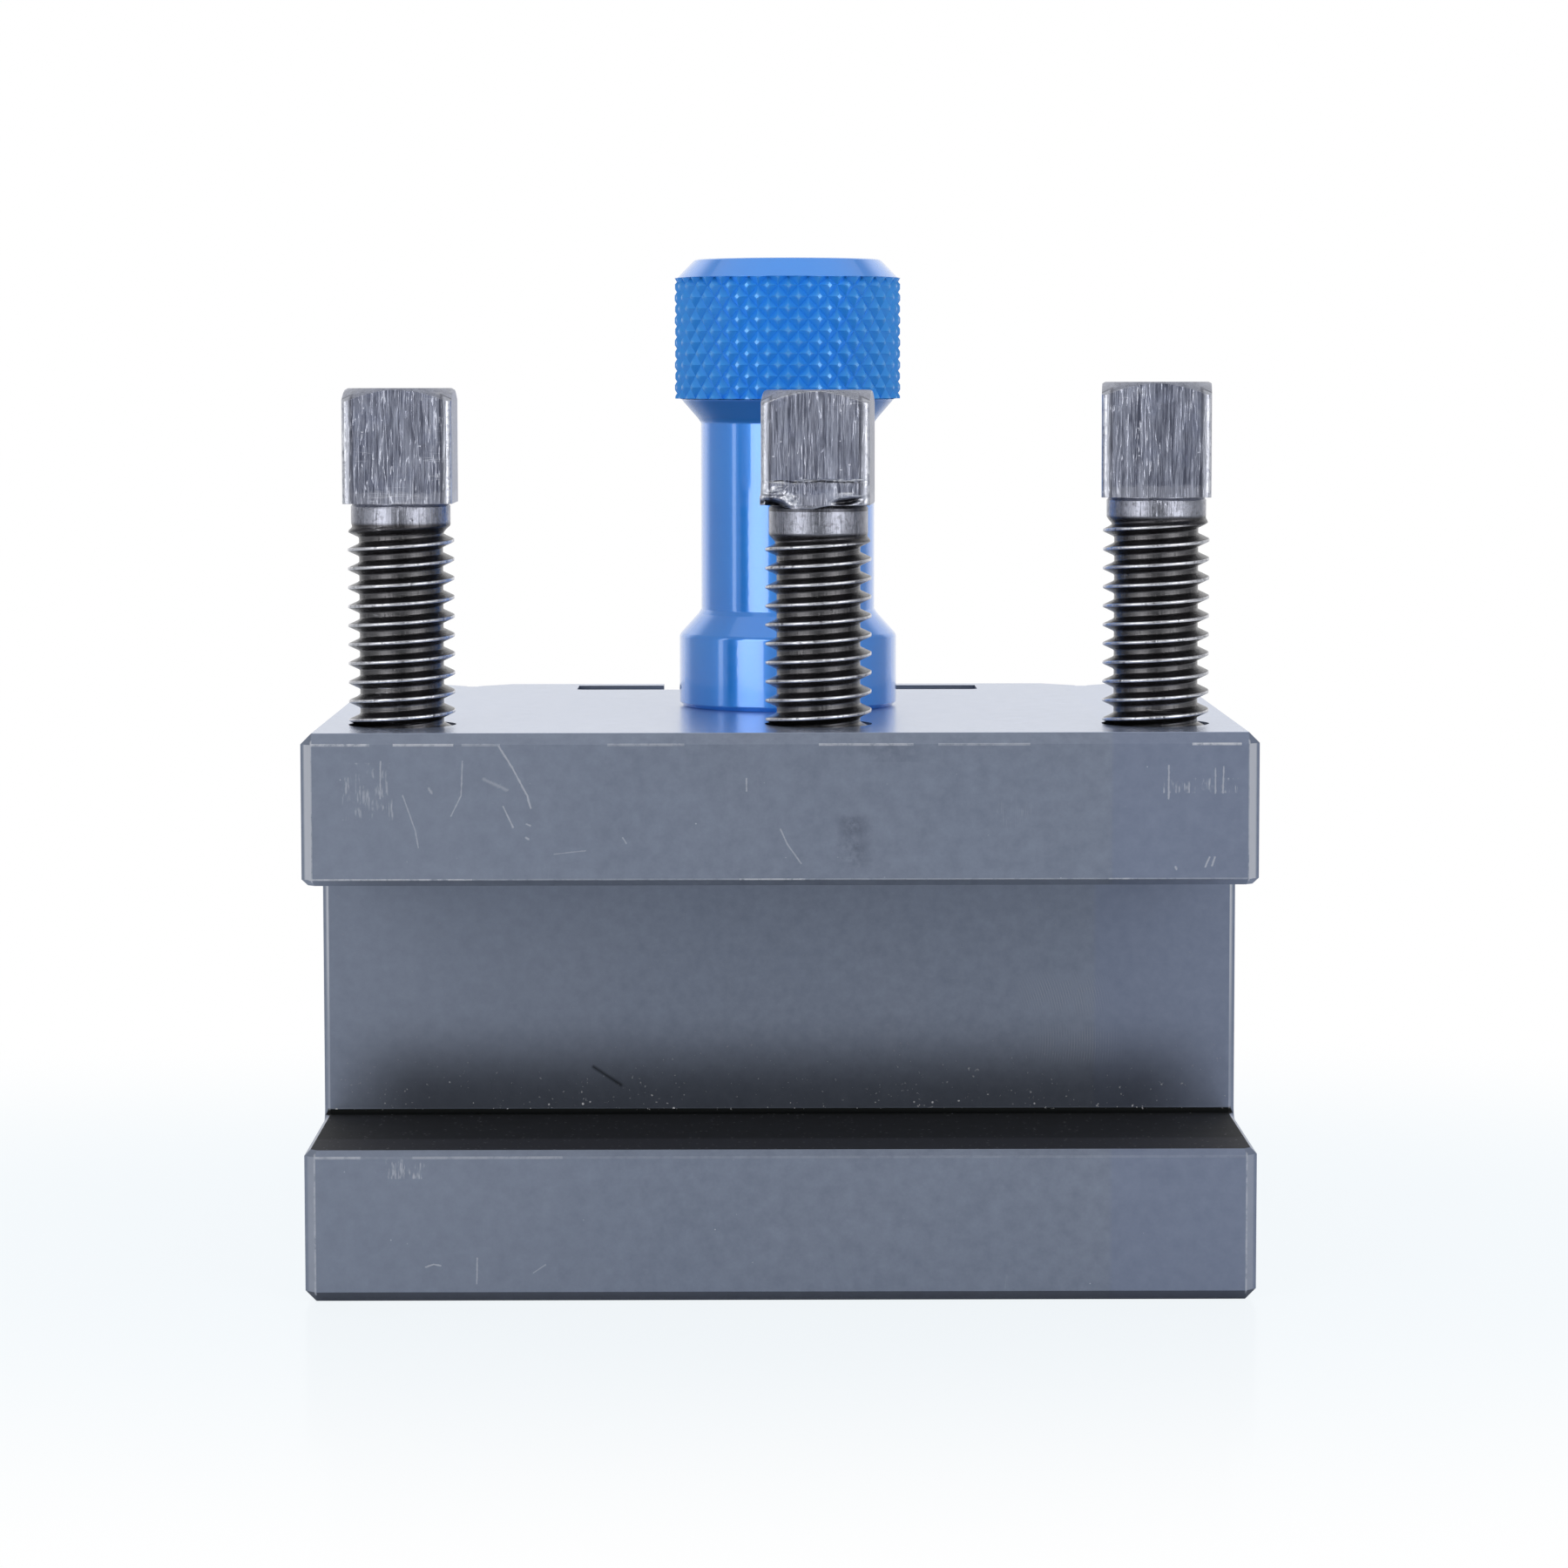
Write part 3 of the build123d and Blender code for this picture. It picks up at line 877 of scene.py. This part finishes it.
def make_knurl_tree():
    """Flat-topped diamonds in staggered rows round a cylinder, pressed level at both ends."""
    tree, n, given, sockets = geometry_tree(
        "diamond_knurl",
        {
            "Around": KNURL_AROUND,
            "Half Rows": KNURL_HALF_ROWS,
            "Root Radius": NUT_HEAD - KNURL_DEPTH,
            "Depth": KNURL_DEPTH,
            "Low": 0.0,
            "High": KNURL_LENGTH,
            "Cell Height": KNURL_CELL,
            "Flat": KNURL_FLAT,
        },
    )
    # one diamond, one unit across and up, with its flat top at height 1
    base = n.add("GeometryNodeMeshCircle", {"Vertices": 4, "Radius": 0.5}, fill_type="NGON")
    values = {"Mesh": base.outputs[0], "Offset Scale": 1.0}
    pulled = n.add("GeometryNodeExtrudeMesh", values, mode="FACES").outputs
    values = {"Geometry": pulled["Mesh"], "Selection": pulled["Top"], "Scale": given["Flat"]}
    diamond = n.add("GeometryNodeScaleElements", values)
    index = n.add("GeometryNodeInputIndex").outputs[0]
    row = n.math("FLOOR", n.over(n.plus(index, 0.5), given["Around"]))
    column = n.minus(index, n.times(row, given["Around"]))
    stagger = n.times(n.math("MODULO", row, 2.0), 0.5)
    values = {"X": n.plus(column, stagger), "Y": n.times(n.minus(row, 1.0), 0.5)}
    centre = n.add("ShaderNodeCombineXYZ", values)
    count = n.times(given["Around"], given["Half Rows"])
    points = n.add("GeometryNodePoints", {"Count": count, "Position": centre.outputs[0]})
    values = {"Points": points.outputs[0], "Instance": diamond.outputs[0]}
    cells = n.add("GeometryNodeInstanceOnPoints", values)
    flat = n.add("GeometryNodeRealizeInstances", {"Geometry": cells.outputs[0]})
    where = n.split(n.add("GeometryNodeInputPosition").outputs[0])
    angle = n.over(n.times(where[0], tau), given["Around"])
    height = n.plus(given["Low"], n.times(where[1], given["Cell Height"]))
    held = n.lowest(n.highest(height, given["Low"]), given["High"])
    radius = n.plus(given["Root Radius"], n.times(where[2], given["Depth"]))
    finish_tree(n, given, roll_up(n, flat.outputs[0], angle, radius, held), False)
    return tree, sockets


def grown(name, tree, sockets, values):
    """A bmesh of what a geometry tree makes with these inputs and its own defaults."""
    carrier = linked(name, bpy.data.meshes.new(name))
    modifier = carrier.modifiers.new(name, "NODES")
    modifier.node_group = tree
    for label, value in values.items():
        modifier[sockets[label]] = value
    return to_bmesh(evaluated(carrier))


# ================================================================ mesh helpers
def give(item, material):
    """Puts one material on an object."""
    item.data.materials.clear()
    item.data.materials.append(material)


def put_piece(name, bm, material, body, replaced):
    """Writes a bmesh to a new object that rides on a body in place of its CAD nodes."""
    piece = linked(name, to_mesh(name, bm))
    give(piece, material)
    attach(piece, body)
    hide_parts(*replaced)


def eased(profile):
    """The profile with points added close to the ends of its long lines, to keep them straight."""
    close = 0.05 * MM
    points = [Vector(profile[0])]
    for a, b in zip(profile, profile[1:]):
        a, b = Vector(a), Vector(b)
        if (b - a).length > 8 * close:
            step = (b - a).normalized() * close
            points += [a + step, b - step]
        points.append(b)
    return [tuple(point) for point in points]


def turned(bm, profile, segments, smooth=True):
    """Adds the surface that a profile of (radius, height) sweeps round Z, closed on the axis."""
    rings = []
    for radius, height in profile:
        if radius < 1e-9:
            rings.append([bm.verts.new((0, 0, height))])
            continue
        angles = [tau * i / segments for i in range(segments)]
        rings.append([bm.verts.new((radius * cos(a), radius * sin(a), height)) for a in angles])
    for lower, upper in zip(rings, rings[1:]):
        for i in range(segments):
            j = (i + 1) % segments
            if len(lower) == 1 and len(upper) == 1:
                continue
            if len(lower) == 1:
                corners = (lower[0], upper[j], upper[i])
            elif len(upper) == 1:
                corners = (lower[i], lower[j], upper[0])
            else:
                corners = (lower[i], lower[j], upper[j], upper[i])
            bm.faces.new(corners).smooth = smooth


def set_upright(bm, low, high):
    """Turns the faces outwards and moves a piece made round Z to the axis of its box."""
    axis = Vector(((low[0] + high[0]) / 2, (low[1] + high[1]) / 2, 0))
    bmesh.ops.recalc_face_normals(bm, faces=bm.faces)
    bmesh.ops.translate(bm, verts=bm.verts, vec=axis)


def modified(bm, build):
    """The bmesh after the modifiers that build(object) adds to it."""
    work = linked("work", to_mesh("work", bm))
    return to_bmesh(evaluated(work, build(work)))


# ================================================================ clamp screws
def rounded_square(size, corner, steps):
    """Corner points of a square with rounded corners, anticlockwise."""
    inner = size / 2 - corner
    points = []
    for quarter in range(4):
        turn = quarter * pi / 2
        centre = Matrix.Rotation(turn, 2) @ Vector((inner, inner))
        for k in range(steps + 1):
            angle = turn + pi / 2 * k / steps
            points.append(centre + corner * Vector((cos(angle), sin(angle))))
    return points


def head_block(foot):
    """The square head: a prism with rounded corners, its top turned to a shallow cone."""
    prism = bmesh.new()
    outline = rounded_square(HEAD_SQUARE, HEAD_CORNER, HEAD_CORNER_STEPS)
    low = [prism.verts.new((p.x, p.y, foot)) for p in outline]
    high = [prism.verts.new((p.x, p.y, foot + HEAD_HEIGHT)) for p in outline]
    prism.faces.new(list(reversed(low)))
    prism.faces.new(high)
    for i in range(len(outline)):
        j = (i + 1) % len(outline)
        prism.faces.new((low[i], low[j], high[j], high[i]))

    def cut_to_cone(work):
        cone = bmesh.new()
        crown = foot + HEAD_HEIGHT
        half_diagonal = HEAD_SQUARE / 2 * 2**0.5
        clear = HEAD_SQUARE  # a radius well outside the corners
        drop = (clear - HEAD_TOP_RADIUS) * sin(HEAD_CONE) / cos(HEAD_CONE)
        dome = 0.02 * MM
        profile = [
            (0, foot - MM),
            (half_diagonal - 0.29 * MM, foot - MM),
            (half_diagonal - HEAD_CORNER * 0.4, foot + HEAD_TAPER_HEIGHT),
            (clear, foot + HEAD_TAPER_HEIGHT + 0.1 * MM),
            (clear, crown - drop),
            (HEAD_TOP_RADIUS, crown),
            (HEAD_TOP_RADIUS - 0.25 * MM, crown + dome),
            (0, crown + dome),
        ]
        turned(cone, profile, HEAD_CONE_SEGMENTS)
        cutter = linked("cone", to_mesh("cone", cone))
        boolean = work.modifiers.new("cone", "BOOLEAN")
        boolean.operation = "INTERSECT"
        boolean.solver = "EXACT"
        boolean.object = cutter
        bevel = work.modifiers.new("edges", "BEVEL")
        bevel.width = HEAD_EDGE_BEVEL
        bevel.segments = 2
        bevel.limit_method = "ANGLE"
        bevel.angle_limit = radians(18)
        return [cutter]

    return modified(prism, cut_to_cone)


def cut_thread(name, material, trees, low, high, shank, tip_radius, tip_length):
    """A thread round the Z axis between two heights, open where it meets its shank."""
    values = {
        "Shank Radius": shank,
        "Tip Radius": tip_radius,
        "Tip Length": tip_length,
        "Low": low,
        "High": high,
        "Rows": int((high - low) / SCREW_PITCH * THREAD_ROWS) + 2 * THREAD_ROWS + 2,
        "Finish": material,
    }
    return grown(name, *trees["thread"], values)


def height_stud(material, trees):
    """The stud that the nut runs on: a thread from end to end, closed by a flat top."""
    low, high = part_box("height_stud")
    end = SCREW_MAJOR - STUD_CHAMFER
    bm = cut_thread("stud_thread", material, trees, low[2], high[2], end, end, STUD_CHAMFER)
    turned(bm, [(end, high[2]), (0, high[2])], THREAD_SEGMENTS, smooth=False)
    bmesh.ops.remove_doubles(bm, verts=bm.verts, dist=MERGE_WITHIN)
    bmesh.ops.holes_fill(bm, edges=bm.edges, sides=0)
    set_upright(bm, low, high)
    put_piece("height_stud_cut", bm, material, "holder", ["height_stud"])


def clamp_screw(node, body, material, trees):
    """One clamp screw: its head, plain neck and cut thread, in place of its CAD node."""
    turn, neck = SCREWS[node]
    low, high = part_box(node)
    foot = high[2] - HEAD_HEIGHT
    shoulder = foot - neck
    name = node + "_thread"
    ends = (low[2], shoulder, SCREW_NECK, SCREW_TIP, SCREW_TIP_LENGTH)
    bm = cut_thread(name, material, trees, *ends)
    relief = SCREW_NECK - 0.12 * MM
    into_head = foot + 0.4 * MM
    neck_profile = [
        (SCREW_NECK, shoulder),
        (SCREW_NECK, foot - 0.25 * MM),
        (relief, foot - 0.1 * MM),
        (relief, into_head),
        (0, into_head),
    ]
    turned(bm, eased(neck_profile), THREAD_SEGMENTS)
    bmesh.ops.remove_doubles(bm, verts=bm.verts, dist=MERGE_WITHIN)
    bmesh.ops.holes_fill(bm, edges=bm.edges, sides=0)
    head = head_block(foot)
    if node == BURRED_SCREW:
        head = hammered(head, foot)
    bmesh.ops.rotate(head, verts=head.verts, matrix=Matrix.Rotation(radians(turn), 3, "Z"))
    bm.from_mesh(to_mesh("head", head))
    set_upright(bm, low, high)
    put_piece(node + "_cut", bm, material, body, [node])


def hill(value, middle, reach):
    """A smooth hill, 1 at its middle and next to nothing at twice its reach."""
    return exp(-(((value - middle) / reach) ** 2))


def hammered(head, foot):
    """The middle head, its lower front edge torn and rolled over by a spanner that slipped."""

    def even_skin(work):
        skin = work.modifiers.new("skin", "REMESH")
        skin.mode = "VOXEL"
        skin.voxel_size = BURR_CELL
        skin.use_smooth_shade = True
        return []

    head = modified(head, even_skin)
    for vert in head.verts:
        u, depth, v = vert.co.x / MM, vert.co.y / MM, (vert.co.z - foot) / MM
        near = min(max((-depth - 2.4) / 1.4, 0.0), 1.0)
        if near == 0.0 or v > 2.6:
            continue
        folds = noise.fractal(Vector((u * 1.5, v * 2.6, 3.1)), 1.0, 2.1, 4)
        wave = noise.noise(Vector((u * 0.9, 7.3, 0.0)))
        # the torn left corner, pushed out in folds, and the hollow under it
        torn = hill(u, -3.05, 1.3) * hill(v, 0.2, 0.7)
        out = torn * (0.16 + 1.0 * folds)
        out -= 1.5 * hill(u, -3.1 + 0.4 * folds, 0.85) * hill(v, 0.12 + 0.2 * wave, 0.27)
        # the slanting notch at the right and the lip above it
        out -= 0.8 * hill(u, 2.3, 0.85) * hill(v, 0.10 + 0.16 * (u - 1.4) + 0.2 * wave, 0.17)
        out += 0.16 * hill(u, 2.4, 0.9) * hill(v, 0.72, 0.22)
        # the groove across the face and the swelling below it
        groove = hill(v, 1.76 + 0.12 * wave, 0.075) * hill(u, 0.2, 3.6)
        out -= groove * max(0.16 + 0.25 * wave, 0.03)
        out += 0.07 * hill(v, 1.25, 0.4)
        # the edge rolled down, never so far that it meets the block with the screw home
        rolled = hill(u, -0.85, 1.25) * min(max((1.3 - v) / 1.3, 0.0), 1.0)
        drop = min(0.40 * rolled - 0.18 * torn * folds, v + 0.28)
        vert.co.y -= near * out * MM
        vert.co.x -= near * torn * 0.22 * MM * min(max((-u - 2.8) / 1.0, 0.0), 1.0)
        vert.co.z -= near * drop * MM
    return head


# ================================================================ height nut
def height_nut(material, trees):
    """The spool nut: collar, waist and diamond-knurled head in one closed shell."""
    low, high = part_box("height_nut")
    seat, top = low[2], high[2]
    knurl_top = top - NUT_TOP_CHAMFER
    knurl_low = knurl_top - KNURL_LENGTH
    waist_top = knurl_low - NUT_HEAD_CONE
    root = NUT_HEAD - KNURL_DEPTH
    values = {"Low": knurl_low, "High": knurl_top, "Finish": material}
    bm = grown("knurl", *trees["knurl"], values)
    segments = 2 * KNURL_AROUND
    collar_top = seat + NUT_COLLAR_HEIGHT
    waist_foot = collar_top + NUT_COLLAR_CONE
    small = 0.12 * MM  # how far the edges between cones and cylinders are eased
    lower_profile = [
        (NUT_BORE, seat + NUT_BORE_CHAMFER),
        (NUT_BORE + NUT_BORE_CHAMFER, seat),
        (NUT_COLLAR - NUT_COLLAR_FOOT, seat),
        (NUT_COLLAR, seat + NUT_COLLAR_FOOT),
        (NUT_COLLAR, collar_top - small),
        (NUT_COLLAR - small, collar_top + small),
        (NUT_WAIST + 2 * small, waist_foot - small),
        (NUT_WAIST, waist_foot + 2 * small),
        (NUT_WAIST, waist_top - 2 * small),
        (NUT_WAIST + 2 * small, waist_top + small),
        (root - small, knurl_low - 0.1 * MM),
        (root, knurl_low),
    ]
    turned(bm, eased(lower_profile), segments)
    upper_profile = [
        (root, knurl_top),
        (NUT_HEAD - 0.15 * MM, knurl_top),
        (NUT_HEAD - 1.5 * MM, top - small * 0.6),
        (NUT_HEAD - 1.7 * MM, top),
        (NUT_BORE + NUT_BORE_CHAMFER, top),
        (NUT_BORE, top - NUT_BORE_CHAMFER),
        (NUT_BORE, seat + NUT_BORE_CHAMFER),
    ]
    turned(bm, eased(upper_profile), segments)
    bmesh.ops.remove_doubles(bm, verts=bm.verts, dist=MERGE_WITHIN)
    set_upright(bm, low, high)
    put_piece("height_nut_turned", bm, material, "nut", ["height_nut"])


# ================================================================ stage, light and camera
def finds_white(n, behind):
    """1 for rays from the camera or through glass, and for mirrored rays that go behind."""
    path = n.add("ShaderNodeLightPath").outputs
    mirrored = n.times(path["Is Glossy Ray"], behind)
    return n.highest(path["Is Camera Ray"], path["Is Transmission Ray"], mirrored)


def make_stage():
    """A pale glossy table that keeps a soft shadow and a faint reflection near the object."""
    material, n, shader = new_material("pale_table")
    n.put(shader["Base Color"], (0.86, 0.885, 0.92))
    shader["Roughness"].default_value = 0.13
    x, y = n.split(n.place())[:2]
    away = n.math("SQRT", n.plus(n.times(x, x, 0.45), n.times(y, y)))
    far = n.step(away, TABLE_NEAR_MM, TABLE_FAR_MM)
    white = finds_white(n, n.step(n.minus(y, n.absolute(x)), 40.0, 160.0))
    glow = n.add("ShaderNodeEmission", {"Color": n.mix(far, (0.930, 0.972, 1.0), (1, 1, 1))})
    share = n.times(white, n.lerp(far, TABLE_LIFT, 1.0))
    glossy = n.tree.nodes["Principled BSDF"].outputs[0]
    surface = n.blend(share, glossy, glow.outputs[0])
    n.put(n.tree.nodes["Material Output"].inputs["Surface"], surface)
    bm = bmesh.new()
    bmesh.ops.create_grid(bm, x_segments=1, y_segments=1, size=TABLE_HALF)
    table = linked("table", to_mesh("table", bm))
    give(table, material)


def make_lamp(name, place, size, radiance):
    """A soft box aimed at the object, as bright to look at as radiance says."""
    lamp = bpy.data.lights.new(name, "AREA")
    lamp.shape = "RECTANGLE"
    lamp.size, lamp.size_y = size
    lamp.energy = radiance * pi * size[0] * size[1]
    holder = linked(name, lamp)
    holder.location = place
    holder.rotation_euler = (LIT_POINT - Vector(place)).to_track_quat("-Z", "Y").to_euler()
    holder.visible_camera = False


def make_light():
    """A pale tent: soft boxes left, right and above, and a darker gap round the camera's side."""
    world = bpy.data.worlds.new("pale_tent")
    bpy.context.scene.world = world
    world.use_nodes = True
    world.node_tree.nodes.clear()
    n = Nodes(world.node_tree)
    aim = n.split(n.add("ShaderNodeTexCoord").outputs["Generated"])
    gap = n.times(n.step(aim[1], -0.80, -0.96), n.step(aim[2], 0.75, 0.45))
    ahead = n.step(aim[1], 0.80, 0.55)
    level = n.lerp(gap, n.lerp(ahead, TENT_BACK, TENT_FRONT), TENT_GAP)
    white = finds_white(n, n.step(aim[1], 0.55, 0.80))
    tent = n.add("ShaderNodeBackground", {"Color": (0.95, 0.97, 1.0), "Strength": level})
    plain = n.add("ShaderNodeBackground", {"Color": (1, 1, 1), "Strength": 1.0})
    surface = n.blend(white, tent.outputs[0], plain.outputs[0])
    n.put(n.add("ShaderNodeOutputWorld").inputs["Surface"], surface)
    for name, (place, size, radiance) in LAMPS.items():
        make_lamp(name, place, size, radiance)


def make_camera():
    """The camera, with its turn written as the right, up and forward directions it makes."""
    right = Vector((cos(CAMERA_YAW), -sin(CAMERA_YAW), 0))
    forward = Vector((sin(CAMERA_YAW), cos(CAMERA_YAW), 0))
    up = Vector((0, 0, 1))
    ahead = cos(CAMERA_PITCH) * forward - sin(CAMERA_PITCH) * up
    above = sin(CAMERA_PITCH) * forward + cos(CAMERA_PITCH) * up
    aside = cos(CAMERA_ROLL) * right - sin(CAMERA_ROLL) * above
    above = sin(CAMERA_ROLL) * right + cos(CAMERA_ROLL) * above
    data = bpy.data.cameras.new("camera")
    data.sensor_width = SENSOR_WIDTH_MM
    data.lens = CAMERA_FOCAL_PX / FRAME_PX * SENSOR_WIDTH_MM
    data.clip_start = 0.01
    camera = linked("camera", data)
    turn = Matrix((aside, above, -ahead)).transposed()
    camera.matrix_world = Matrix.Translation(CAMERA_PLACE) @ turn.to_4x4()
    bpy.context.scene.camera = camera


def main():
    """Sets up the view and dresses the block, the screws, the stud and the nut."""
    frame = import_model()
    make_camera()
    make_light()
    make_stage()
    groups = {
        "grain": make_grain_group(),
        "scratch": make_scratch_group(),
        "mark": make_line_group(),
        "speck": make_speck_group(),
    }
    trees = {"thread": make_thread_tree(), "knurl": make_knurl_tree()}

    give(frame["nodes"]["body"], block_material(groups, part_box("body")))
    for node, body in (
        ("clamp_screw_left", "left_screw"),
        ("clamp_screw_middle", "middle_screw"),
        ("clamp_screw_right", "right_screw"),
    ):
        clamp_screw(node, body, screw_material(groups, node, *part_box(node)), trees)

    nut_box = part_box("height_nut")
    height_stud(stud_material(*nut_box), trees)
    height_nut(nut_material(groups, *nut_box), trees)

    bpy.context.scene.view_settings.view_transform = "Standard"


main()
